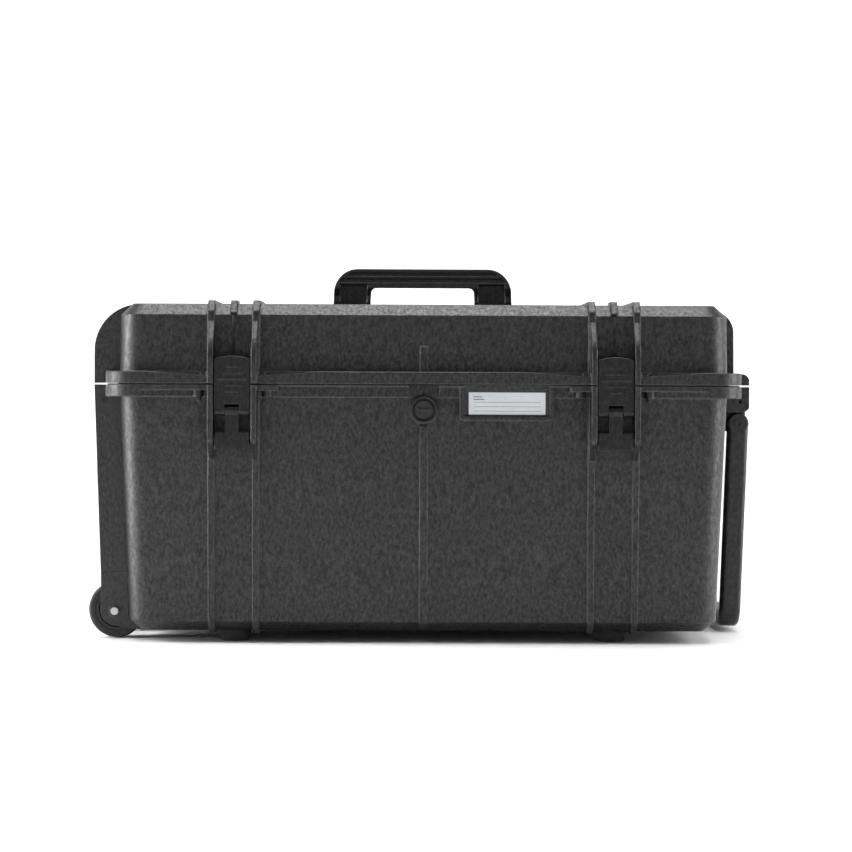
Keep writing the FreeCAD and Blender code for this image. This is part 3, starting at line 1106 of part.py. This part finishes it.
# ---------------------------------------------------------------- build
def main():
    os.makedirs("parts", exist_ok=True)
    save("base_shell", base_shell())
    save("lid_shell", lid_shell())
    low = BASE_TOP + TONGUE_HIGH + 0.3
    save("lid_seal", seal_ring(SEAL_WIDE, low, LID_LOW + GROOVE_DEEP - 0.1))
    for name, centre in (("left", -LATCH_X), ("right", LATCH_X)):
        save_latch(name, centre)
    save("latch_base_pins", [rod((centre - GUARD_FAR, -KEEPER_Y, LINK_PIN_Z), (1, 0, 0),
                                 2 * GUARD_FAR, LATCH_PIN_R) for centre in (-LATCH_X, LATCH_X)])
    save("hinge_pins", [rod((centre - LATCH_HALF, HINGE_Y, HINGE_Z), (1, 0, 0), 2 * LATCH_HALF,
                            HINGE_PIN_R) for centre in (-LATCH_X, LATCH_X)])
    save_valve()
    save_label()
    save_feet()
    save_trolley()
    save("axle_clips", [save_wheel("front", False), save_wheel("rear", True)])
    save_top_handle()
    save_side_handle()
    save_foam()


main()
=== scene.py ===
import json
import math

import bmesh
import bpy
from mathutils import Matrix, Vector


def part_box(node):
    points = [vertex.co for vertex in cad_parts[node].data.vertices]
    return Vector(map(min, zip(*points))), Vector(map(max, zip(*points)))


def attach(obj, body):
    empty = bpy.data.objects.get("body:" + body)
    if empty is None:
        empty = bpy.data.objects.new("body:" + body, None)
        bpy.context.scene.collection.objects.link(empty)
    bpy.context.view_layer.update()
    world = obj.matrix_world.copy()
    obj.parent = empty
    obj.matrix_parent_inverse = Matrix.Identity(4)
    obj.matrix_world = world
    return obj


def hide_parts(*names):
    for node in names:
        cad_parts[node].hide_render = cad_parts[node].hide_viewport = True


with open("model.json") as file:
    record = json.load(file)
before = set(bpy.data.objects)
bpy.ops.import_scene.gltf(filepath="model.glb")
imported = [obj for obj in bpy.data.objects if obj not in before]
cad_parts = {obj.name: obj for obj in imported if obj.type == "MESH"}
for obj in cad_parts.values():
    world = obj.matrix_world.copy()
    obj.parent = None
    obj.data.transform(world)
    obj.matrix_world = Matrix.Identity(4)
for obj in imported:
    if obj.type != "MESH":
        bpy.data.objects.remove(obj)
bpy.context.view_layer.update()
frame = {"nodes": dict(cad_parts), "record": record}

NODES = frame["nodes"]
RECORD = frame["record"]


# ---------------------------------------------------------------- material helpers
def start_material(name):
    """A new node material: returns it, its tree and its Principled shader."""
    material = bpy.data.materials.new(name)
    material.use_nodes = True
    tree = material.node_tree
    return material, tree, tree.nodes["Principled BSDF"]


def add(tree, kind, **values):
    """Adds a node. A value sets a property or an input; a socket is linked to it."""
    node = tree.nodes.new(kind)
    for key, value in values.items():
        name = key.replace("_", " ")
        if hasattr(node, key) and key not in node.inputs:
            setattr(node, key, value)
            continue
        target = node.inputs[name] if name in node.inputs else node.inputs[key]
        if isinstance(value, bpy.types.NodeSocket):
            tree.links.new(value, target)
        else:
            target.default_value = value
    return node


def ramp(tree, source, stops):
    """Colour ramp over a factor: stops are (position, grey or rgb)."""
    node = add(tree, "ShaderNodeValToRGB", Fac=source)
    elements = node.color_ramp.elements
    while len(elements) < len(stops):
        elements.new(0.5)
    for element, (position, value) in zip(elements, stops):
        element.position = position
        rgb = (value, value, value) if isinstance(value, (int, float)) else value
        element.color = (*rgb, 1.0)
    return node.outputs["Color"]


def map_range(tree, source, low, high, to_low, to_high):
    node = tree.nodes.new("ShaderNodeMapRange")
    tree.links.new(source, node.inputs["Value"])
    for name, value in (("From Min", low), ("From Max", high), ("To Min", to_low), ("To Max", to_high)):
        node.inputs[name].default_value = value
    return node.outputs["Result"]


def mix_colour(tree, factor, first, second, blend="MIX"):
    node = tree.nodes.new("ShaderNodeMix")
    node.data_type = "RGBA"
    node.blend_type = blend
    for index, value in ((0, factor), (6, first), (7, second)):
        if isinstance(value, bpy.types.NodeSocket):
            tree.links.new(value, node.inputs[index])
        elif index == 0:
            node.inputs[index].default_value = value
        else:
            node.inputs[index].default_value = (*value, 1.0)
    return node.outputs[2]


def object_point(tree, scale=(1.0, 1.0, 1.0)):
    """Place on the object in metres, stretched per axis."""
    source = tree.nodes.new("ShaderNodeTexCoord")
    mapping = tree.nodes.new("ShaderNodeMapping")
    mapping.inputs["Scale"].default_value = scale
    tree.links.new(source.outputs["Object"], mapping.inputs["Vector"])
    return mapping.outputs["Vector"]


def noise(tree, vector, scale, detail=3.0, roughness=0.55):
    node = add(tree, "ShaderNodeTexNoise", Vector=vector, Scale=scale, Detail=detail, Roughness=roughness)
    return node.outputs["Fac"]


def soft_edges(tree, radius):
    """Rounded-edge normal, and a mask that is bright along the edges."""
    bevel = tree.nodes.new("ShaderNodeBevel")
    bevel.samples = 6
    bevel.inputs["Radius"].default_value = radius
    geometry = tree.nodes.new("ShaderNodeNewGeometry")
    dot = tree.nodes.new("ShaderNodeVectorMath")
    dot.operation = "DOT_PRODUCT"
    tree.links.new(bevel.outputs["Normal"], dot.inputs[0])
    tree.links.new(geometry.outputs["Normal"], dot.inputs[1])
    return bevel.outputs["Normal"], map_range(tree, dot.outputs["Value"], 1.0, 0.8, 0.0, 1.0)


def bumped(tree, height, distance, strength=1.0, normal=None):
    node = tree.nodes.new("ShaderNodeBump")
    node.inputs["Strength"].default_value = strength
    node.inputs["Distance"].default_value = distance
    tree.links.new(height, node.inputs["Height"])
    if normal is not None:
        tree.links.new(normal, node.inputs["Normal"])
    return node.outputs["Normal"]


# ---------------------------------------------------------------- materials
SCUFF_LIFT = 2.6     # how much lighter than the plastic its scuffs are
STREAK_LIFT = 3.0    # its flow streaks
EDGE_WEAR_AND_HIGHLIGHT_LIFT = 9.0      # and its edges: wear plus a painted highlight
GRAIN_STRETCH = 0.6  # below 1 draws the grain out upwards


def moulded_plastic(name, grey, roughness, grain=1400.0, depth=0.00012, mottle=0.18, streak=0.15, edge_wear_and_highlight=0.35,
                    edge=0.0008, shine=0.45):
    """Injection-moulded plastic: spark-eroded grain, blotchy scuffs, faint streaks, edges lightened by wear
    and a painted highlight.
    """
    material, tree, shader = start_material(name)
    point = object_point(tree)
    upright = object_point(tree, (1.0, 1.0, GRAIN_STRETCH))
    cloud = noise(tree, point, 34.0, 5.0, 0.6)
    blotch = noise(tree, upright, 330.0, 6.0, 0.7)
    lines = noise(tree, upright, 560.0, 4.0, 0.65)
    speckle = noise(tree, point, grain, 2.0, 0.5)
    base = ramp(tree, cloud, [(0.3, grey * (1 - mottle)), (0.7, grey * (1 + mottle))])
    scuff = map_range(tree, blotch, 0.4, 0.68, 0.0, 2.2 * mottle)
    scuffed = mix_colour(tree, scuff, base, (grey * SCUFF_LIFT,) * 3)
    drawn = map_range(tree, lines, 0.5, 0.75, 0.0, streak)
    streaked = mix_colour(tree, drawn, scuffed, (grey * STREAK_LIFT,) * 3)
    # Every edge is lightened in colour: partly wear, partly a painted highlight along the edges.
    normal, mask = soft_edges(tree, edge)
    broken = add(tree, "ShaderNodeMath", operation="MULTIPLY")
    tree.links.new(mask, broken.inputs[0])
    patchy = map_range(tree, noise(tree, point, 160.0, 4.0), 0.35, 0.65, 0.35, 1.0)
    tree.links.new(patchy, broken.inputs[1])
    worn_and_highlit = map_range(tree, broken.outputs[0], 0.0, 1.0, 0.0, edge_wear_and_highlight)
    tree.links.new(mix_colour(tree, worn_and_highlit, streaked, (grey * EDGE_WEAR_AND_HIGHLIGHT_LIFT,) * 3), shader.inputs["Base Color"])
    tree.links.new(map_range(tree, blotch, 0.35, 0.7, roughness + 0.06, roughness - 0.1),
                   shader.inputs["Roughness"])
    grain_normal = bumped(tree, speckle, depth, 0.8, normal)
    tree.links.new(bumped(tree, blotch, depth * 1.6, 0.7, grain_normal), shader.inputs["Normal"])
    tree.links.new(map_range(tree, blotch, 0.35, 0.68, shine - mottle, shine + mottle),
                   shader.inputs["Specular IOR Level"])
    return material


def rubber(name, grey, roughness, scuff=0.3):
    """Matt rubber with dust in a fine open grain."""
    material, tree, shader = start_material(name)
    point = object_point(tree)
    cloud = noise(tree, point, 90.0, 6.0, 0.62)
    dust = map_range(tree, noise(tree, point, 420.0, 5.0), 0.5, 0.75, 0.0, scuff)
    base = ramp(tree, cloud, [(0.3, grey * 0.8), (0.7, grey * 1.3)])
    dusty = mix_colour(tree, dust, base, (grey * 3.2, grey * 3.1, grey * 2.9))
    tree.links.new(dusty, shader.inputs["Base Color"])
    tree.links.new(map_range(tree, cloud, 0.3, 0.7, roughness - 0.06, roughness + 0.08),
                   shader.inputs["Roughness"])
    normal, _ = soft_edges(tree, 0.0006)
    grain = noise(tree, point, 1100.0, 3.0)
    tree.links.new(bumped(tree, grain, 0.00015, 0.7, normal), shader.inputs["Normal"])
    return material


def metal(name, colour, roughness, brush=(1.0, 1.0, 0.02), scale=900.0):
    """Brushed or turned metal with faint streaks and dull patches."""
    material, tree, shader = start_material(name)
    streaks = noise(tree, object_point(tree, brush), scale, 4.0, 0.6)
    patches = noise(tree, object_point(tree), 70.0, 4.0)
    dark = tuple(channel * 0.82 for channel in colour)
    tree.links.new(ramp(tree, patches, [(0.35, dark), (0.65, colour)]), shader.inputs["Base Color"])
    tree.links.new(map_range(tree, streaks, 0.3, 0.7, roughness - 0.08, roughness + 0.12),
                   shader.inputs["Roughness"])
    normal, _ = soft_edges(tree, 0.0004)
    tree.links.new(bumped(tree, streaks, 0.00003, 0.6, normal), shader.inputs["Normal"])
    shader.inputs["Metallic"].default_value = 1.0
    return material


def clear_plastic(name):
    """Clear moulded window, slightly hazy in patches."""
    material, tree, shader = start_material(name)
    haze = noise(tree, object_point(tree), 60.0, 4.0)
    tree.links.new(ramp(tree, haze, [(0.3, (0.86, 0.88, 0.9)), (0.7, (0.95, 0.96, 0.97))]),
                   shader.inputs["Base Color"])
    tree.links.new(map_range(tree, haze, 0.3, 0.7, 0.04, 0.12), shader.inputs["Roughness"])
    shader.inputs["IOR"].default_value = 1.2
    shader.inputs["Transmission Weight"].default_value = 0.96
    shader.inputs["Alpha"].default_value = 0.5
    return material


def card(name):
    """White board with a faint fibre."""
    material, tree, shader = start_material(name)
    fibre = noise(tree, object_point(tree, (1.0, 1.0, 3.0)), 900.0, 5.0)
    tree.links.new(ramp(tree, fibre, [(0.3, (0.84, 0.85, 0.87)), (0.7, (0.92, 0.93, 0.95))]),
                   shader.inputs["Base Color"])
    tree.links.new(map_range(tree, fibre, 0.3, 0.7, 0.5, 0.7), shader.inputs["Roughness"])
    tree.links.new(bumped(tree, fibre, 0.00004), shader.inputs["Normal"])
    return material


def foam_material(name, grey):
    """Open-cell foam: painted shade in its small pores, lighter struts, a soft sheen."""
    material, tree, shader = start_material(name)
    point = object_point(tree)
    cells = tree.nodes.new("ShaderNodeTexVoronoi")
    cells.inputs["Scale"].default_value = 650.0
    tree.links.new(point, cells.inputs["Vector"])
    pore_depth_and_shade = map_range(tree, cells.outputs["Distance"], 0.0, 0.6, 0.0, 1.0)
    cloud = noise(tree, point, 25.0, 4.0)
    base = ramp(tree, cloud, [(0.3, grey * 0.85), (0.7, grey * 1.2)])
    # Pore centres are coloured darker: painted shade in the recessed cells.
    tree.links.new(mix_colour(tree, pore_depth_and_shade, (grey * 0.35,) * 3, base), shader.inputs["Base Color"])
    tree.links.new(map_range(tree, pore_depth_and_shade, 0.0, 1.0, 0.98, 0.85), shader.inputs["Roughness"])
    tree.links.new(bumped(tree, pore_depth_and_shade, 0.0004, 0.9), shader.inputs["Normal"])
    shader.inputs["Sheen Weight"].default_value = 0.25
    shader.inputs["Sheen Roughness"].default_value = 0.6
    return material


PLASTICS = {
    "shell_plastic": dict(grey=0.0085, roughness=0.4, grain=1300.0, depth=0.00022, mottle=0.2, streak=0.3,
                          edge_wear_and_highlight=0.8, edge=0.002),
    "cover_plastic": dict(grey=0.009, roughness=0.45, grain=1700.0, mottle=0.15, edge_wear_and_highlight=0.4, edge=0.0012),
    "latch_plastic": dict(grey=0.007, roughness=0.38, grain=2400.0, depth=0.00006, mottle=0.1, streak=0.05,
                          edge_wear_and_highlight=0.5, edge=0.0014, shine=0.3),
    "handle_plastic": dict(grey=0.007, roughness=0.4, grain=2200.0, depth=0.00008, mottle=0.1, streak=0.05,
                           edge_wear_and_highlight=0.6, edge=0.0022),
    "valve_plastic": dict(grey=0.007, roughness=0.42, grain=2200.0, depth=0.00006, mottle=0.1, streak=0.05,
                          edge_wear_and_highlight=0.6, edge=0.0008),
    "button_plastic": dict(grey=0.09, roughness=0.4, grain=2200.0, depth=0.00006, mottle=0.1, streak=0.1),
    "hub_plastic": dict(grey=0.009, roughness=0.45, grain=1900.0, mottle=0.12, streak=0.1),
    "bush_plastic": dict(grey=0.5, roughness=0.35, grain=2200.0, depth=0.00004, mottle=0.05, streak=0.05,
                         edge_wear_and_highlight=0.1),
}


def make_materials():
    plastics = {name: moulded_plastic(name, **values) for name, values in PLASTICS.items()}
    return plastics | {
        "foot_rubber": rubber("foot_rubber", 0.014, 0.7),
        "seal_rubber": rubber("seal_rubber", 0.018, 0.6, 0.1),
        "tyre": rubber("tyre", 0.009, 0.68, 0.35),
        "membrane": card("membrane"),
        "card": card("card"),
        "clear_plastic": clear_plastic("clear_plastic"),
        "steel": metal("steel", (0.55, 0.55, 0.56), 0.34),
        "black_steel": metal("black_steel", (0.05, 0.05, 0.052), 0.42),
        "axle_steel": metal("axle_steel", (0.5, 0.5, 0.51), 0.4, brush=(1.0, 0.05, 1.0)),
        "tube_aluminium": metal("tube_aluminium", (0.5, 0.51, 0.53), 0.3),
        "foam": foam_material("foam", 0.035),
    }


MATERIALS = make_materials()


def finish_nodes():
    """Every CAD node takes the procedural material of its slot."""
    for row in RECORD["subparts"]:
        mesh = NODES[row["node"]].data
        mesh.materials.clear()
        mesh.materials.append(MATERIALS[row["material_slot"]])


# ---------------------------------------------------------------- mesh helpers
def piece(name, mesh, body, slot):
    """Links a mesh as a visible piece that rides on a body."""
    thing = bpy.data.objects.new(name, mesh)
    bpy.context.scene.collection.objects.link(thing)
    mesh.materials.clear()
    mesh.materials.append(MATERIALS[slot])
    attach(thing, body)
    return thing


def applied(thing):
    """Replaces an object's mesh by the mesh with its modifiers applied."""
    graph = bpy.context.evaluated_depsgraph_get()
    mesh = bpy.data.meshes.new_from_object(thing.evaluated_get(graph))
    thing.modifiers.clear()
    thing.data = mesh
    return thing


# ---------------------------------------------------------------- foam
FOAM_VOXEL = 0.004
FOAM_RIPPLE = 0.0012


def soft_copy(node, name, voxel=FOAM_VOXEL):
    """Foam cut from a CAD block: the same pad with rounded cut edges and a slightly uneven face."""
    source = NODES[node]
    mesh = source.data.copy()
    thing = piece(name, mesh, "base", "foam")
    remesh = thing.modifiers.new("remesh", "REMESH")
    remesh.mode = "VOXEL"
    remesh.voxel_size = voxel
    smooth = thing.modifiers.new("smooth", "SMOOTH")
    smooth.factor = 0.5
    smooth.iterations = 4
    texture = bpy.data.textures.new(name + "_ripple", "CLOUDS")
    texture.noise_scale = 0.03
    ripple = thing.modifiers.new("ripple", "DISPLACE")
    ripple.texture = texture
    ripple.texture_coords = "GLOBAL"
    ripple.strength = FOAM_RIPPLE
    ripple.mid_level = 0.9
    applied(thing)
    thing.data.polygons.foreach_set("use_smooth", [True] * len(thing.data.polygons))
    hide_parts(node)
    return thing


CRATE_PITCH = 0.036
CRATE_STEP = 0.004
CRATE_DEPTH = 0.02
CRATE_RIM = 0.01      # width of the pressed rim
CRATE_CORNER = 0.02
RIM_DROP = 0.013      # how far the rim's upper face slopes down
PAD_GAP = 0.0005


def egg_crate_pad(node, name):
    """Lid pad with an egg-crate face below, its rim pressed flat against the lid."""
    low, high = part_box(node)
    columns = int((high.x - low.x) / CRATE_STEP)
    rows = int((high.y - low.y) / CRATE_STEP)
    build = bmesh.new()

    def inside(x, y):
        """Pulls a grid point in to the pad's rounded plan."""
        far_x = (high.x - low.x) / 2 - CRATE_CORNER
        far_y = (high.y - low.y) / 2 - CRATE_CORNER
        over = Vector((max(abs(x) - far_x, 0.0), max(abs(y) - far_y, 0.0)))
        if over.length > CRATE_CORNER:
            over *= CRATE_CORNER / over.length
        return (math.copysign(min(abs(x), far_x) + over.x, x),
                math.copysign(min(abs(y), far_y) + over.y, y))

    grids = []
    for top in (False, True):
        grid = []
        for i in range(columns + 1):
            line = []
            for j in range(rows + 1):
                x = low.x + (high.x - low.x) * i / columns
                y = low.y + (high.y - low.y) * j / rows
                edge = min(x - low.x, high.x - x, y - low.y, high.y - y)
                wave = (math.sin(math.tau * x / CRATE_PITCH) * math.sin(math.tau * y / CRATE_PITCH) + 1) / 2
                fade = min(edge / CRATE_RIM, 1.0)
                lift = PAD_GAP + CRATE_DEPTH * (1 - wave) * 0.5 * fade + CRATE_DEPTH * 0.4 * (1 - fade)
                px, py = inside(x, y)
                if top:
                    z = high.z - PAD_GAP - RIM_DROP * (1 - fade)
                else:
                    z = low.z + lift
                line.append(build.verts.new((px, py, z)))
            grid.append(line)
        grids.append(grid)
    for top, grid in zip((False, True), grids):
        for i in range(columns):
            for j in range(rows):
                loop = [grid[i][j], grid[i + 1][j], grid[i + 1][j + 1], grid[i][j + 1]]
                build.faces.new(loop if top else loop[::-1])
    lower, upper = grids
    around = ([(i, 0) for i in range(columns)] + [(columns, j) for j in range(rows)]
              + [(i, rows) for i in range(columns, 0, -1)] + [(0, j) for j in range(rows, 0, -1)])
    for (a, b), (c, d) in zip(around, around[1:] + around[:1]):
        build.faces.new([lower[a][b], lower[c][d], upper[c][d], upper[a][b]])
    mesh = bpy.data.meshes.new(name)
    build.to_mesh(mesh)
    build.free()
    mesh.polygons.foreach_set("use_smooth", [True] * len(mesh.polygons))
    thing = piece(name, mesh, "lid", "foam")
    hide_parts(node)
    return thing


# ---------------------------------------------------------------- card print
def card_lines():
    """Plain ruled lines on the name card, with two short dashes where headings would go."""
    low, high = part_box("name_card")
    width = high.x - low.x
    height = high.z - low.z
    thickness = 0.00006
    strokes = [(0.06, 0.17, 0.80, 0.0009), (0.06, 0.20, 0.68, 0.0009)]
    strokes += [(0.06, 0.94, level, 0.00035) for level in (0.56, 0.36, 0.16)]
    build = bmesh.new()
    for start, end, level, stroke in strokes:
        x0 = low.x + width * start
        x1 = low.x + width * end
        z0 = low.z + height * level
        matrix = Matrix.Translation(((x0 + x1) / 2, low.y - thickness / 2, z0))
        scale = Matrix.Diagonal((x1 - x0, thickness, stroke, 1.0))
        bmesh.ops.create_cube(build, size=1.0, matrix=matrix @ scale)
    mesh = bpy.data.meshes.new("card_lines")
    build.to_mesh(mesh)
    build.free()
    piece("card_lines", mesh, "base", "button_plastic")


# ---------------------------------------------------------------- camera, light, floor
IMAGE_SIDE = 852
SENSOR = 36.0
FOCAL_PIXELS = 2450.0
CAMERA_AT = (-0.021, -2.708, 0.2623)
LOOK = (23.0 / FOCAL_PIXELS, 1.0, -41.0 / FOCAL_PIXELS)
ROLL = 0.0043


def place_camera():
    data = bpy.data.cameras.new("camera")
    data.sensor_width = SENSOR
    data.lens = FOCAL_PIXELS * SENSOR / IMAGE_SIDE
    data.clip_end = 50.0
    camera = bpy.data.objects.new("camera", data)
    bpy.context.scene.collection.objects.link(camera)
    turn = Vector(LOOK).to_track_quat("-Z", "Y").to_matrix().to_4x4()
    camera.matrix_world = Matrix.Translation(CAMERA_AT) @ turn @ Matrix.Rotation(ROLL, 4, "Z")
    bpy.context.scene.camera = camera


def softbox(name, at, target, size, power):
    data = bpy.data.lights.new(name, "AREA")
    data.shape = "RECTANGLE"
    data.size, data.size_y = size
    data.energy = power
    light = bpy.data.objects.new(name, data)
    bpy.context.scene.collection.objects.link(light)
    aim = (Vector(target) - Vector(at)).to_track_quat("-Z", "Y").to_matrix().to_4x4()
    light.matrix_world = Matrix.Translation(at) @ aim


def stage_plane(name, corners, colour, glow):
    """Floor or backdrop sheet: a plain matt surface, or an evenly glowing one."""
    mesh = bpy.data.meshes.new(name)
    mesh.from_pydata(corners, [], [(0, 1, 2, 3)])
    sheet = bpy.data.objects.new(name, mesh)
    bpy.context.scene.collection.objects.link(sheet)
    material, _tree, shader = start_material(name)
    shader.inputs["Base Color"].default_value = (colour, colour, colour, 1.0)
    shader.inputs["Roughness"].default_value = 0.9
    shader.inputs["Specular IOR Level"].default_value = 0.1
    shader.inputs["Emission Color"].default_value = (1.0, 1.0, 1.0, 1.0)
    shader.inputs["Emission Strength"].default_value = glow
    mesh.materials.append(material)


CASE_MIDDLE = (0.0, 0.0, 0.2)
SOFTBOXES = [("left_light", (-1.5, -0.35, 0.6), (0.4, 1.4), 40.0),
             ("right_light", (1.5, -0.35, 0.6), (0.4, 1.4), 19.0),
             ("front_light", (0.0, -4.5, 1.15), (4.0, 1.6), 12.0)]
FLOOR_REACH = 14.0
BACKDROP_Y = 5.0
BACKDROP_HIGH = 6.0


def studio():
    world = bpy.data.worlds.new("studio")
    world.use_nodes = True
    background = world.node_tree.nodes["Background"]
    background.inputs["Color"].default_value = (1.0, 1.0, 1.0, 1.0)
    background.inputs["Strength"].default_value = 0.1
    bpy.context.scene.world = world
    for name, at, size, power in SOFTBOXES:
        softbox(name, at, CASE_MIDDLE, size, power)
    data = bpy.data.lights.new("overhead", "SUN")
    data.energy = 3.1
    data.angle = math.radians(38.0)
    overhead = bpy.data.objects.new("overhead", data)
    bpy.context.scene.collection.objects.link(overhead)
    overhead.rotation_euler = (math.radians(-6.0), 0.0, 0.0)
    far = FLOOR_REACH
    stage_plane("floor", [(-far, -far, 0), (far, -far, 0), (far, far, 0), (-far, far, 0)], 0.93, 0.0)
    stage_plane("backdrop", [(-far, BACKDROP_Y, 0), (far, BACKDROP_Y, 0),
                             (far, BACKDROP_Y, BACKDROP_HIGH), (-far, BACKDROP_Y, BACKDROP_HIGH)],
                0.9, 0.8)
    bpy.context.scene.view_settings.view_transform = "Standard"


finish_nodes()
soft_copy("foam_tray", "foam_tray_cut")
soft_copy("foam_floor_pad", "foam_floor_cut", voxel=0.008)
egg_crate_pad("lid_foam", "lid_foam_crate")
card_lines()
place_camera()
studio()
